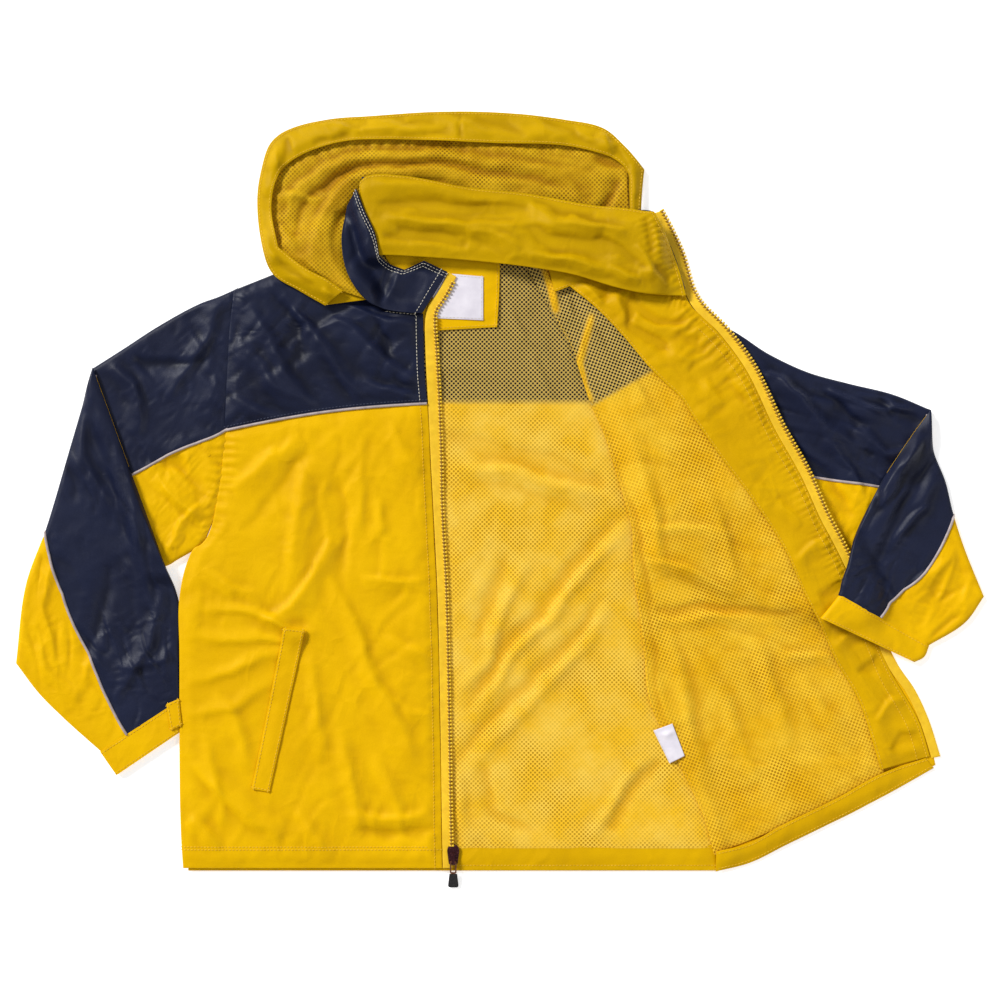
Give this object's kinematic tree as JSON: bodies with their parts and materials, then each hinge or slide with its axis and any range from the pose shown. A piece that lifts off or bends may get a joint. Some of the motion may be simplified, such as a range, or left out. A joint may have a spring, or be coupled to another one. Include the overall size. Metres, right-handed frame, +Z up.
{
  "type": "kids raincoat",
  "caption": "Child's hooded zip raincoat with mesh lining, laid flat on its back with one front turned open and the sleeves folded down.",
  "frame": {"origin": "on the table, under the centre of the coat's outline as it lies", "axes": "+X across the coat from its right sleeve to its left one, +Y towards the hood, +Z up from the table"},
  "size_m": [0.8719, 0.6992, 0.0212],
  "materials": {
    "yellow_shell": "coated plain-weave nylon with a soft sheen, bright yellow",
    "navy_shell": "coated plain-weave nylon with a soft sheen, dark navy",
    "mesh_lining": "knitted polyester mesh with small round holes, yellow",
    "piping": "grey reflective piping",
    "zip_tape": "woven polyester zip tape with moulded teeth, yellow",
    "label": "satin label tape, off-white, bare",
    "slider_metal": "dark burgundy enamel on a die-cast slider",
    "pull_tab": "black moulded tab"
  },
  "bodies": {
    "coat": {"back_yoke": "navy_shell", "back_body": "yellow_shell", "back_lining": "mesh_lining", "back_hem": "yellow_shell", "neck_patch": "yellow_shell", "neck_label": "label", "right_front_yoke": "navy_shell", "right_front_piping": "piping", "right_front_body": "yellow_shell", "right_zip_tape": "zip_tape", "pocket_welt": "yellow_shell", "right_sleeve_upper_navy": "navy_shell", "right_sleeve_upper_yellow": "yellow_shell", "right_sleeve_upper_piping": "piping", "right_sleeve_lower_yellow": "yellow_shell", "right_sleeve_lower_navy": "navy_shell", "right_sleeve_lower_piping": "piping", "right_cuff": "yellow_shell", "right_cuff_tab": "yellow_shell", "left_sleeve_upper_navy": "navy_shell", "left_sleeve_upper_yellow": "yellow_shell", "left_sleeve_upper_piping": "piping", "left_front_yoke": "navy_shell", "left_front_body": "yellow_shell", "left_front_lining": "mesh_lining", "left_front_facing": "yellow_shell", "left_front_hem": "yellow_shell", "left_zip_tape": "zip_tape", "care_label": "label", "left_sleeve_lower_yellow": "yellow_shell", "left_sleeve_lower_navy": "navy_shell", "left_sleeve_lower_piping": "piping", "left_cuff": "yellow_shell", "hood_side_right": "yellow_shell", "hood_side_left": "yellow_shell", "hood_lining": "mesh_lining", "hood_brim": "yellow_shell", "collar_outer_back": "navy_shell", "collar_inner": "yellow_shell", "collar_outer_right": "navy_shell", "zip_slider": "slider_metal"},
    "pull": {"zip_link": "slider_metal", "zip_tab": "pull_tab"}
  },
  "joints": [
    {"name": "pull_swing", "type": "hinge", "parent": "coat", "child": "pull", "pos_m": [-0.0421, -0.3252, 0.0079], "axis": [-1, 0, 0], "range_deg": [0, 165]}
  ]
}
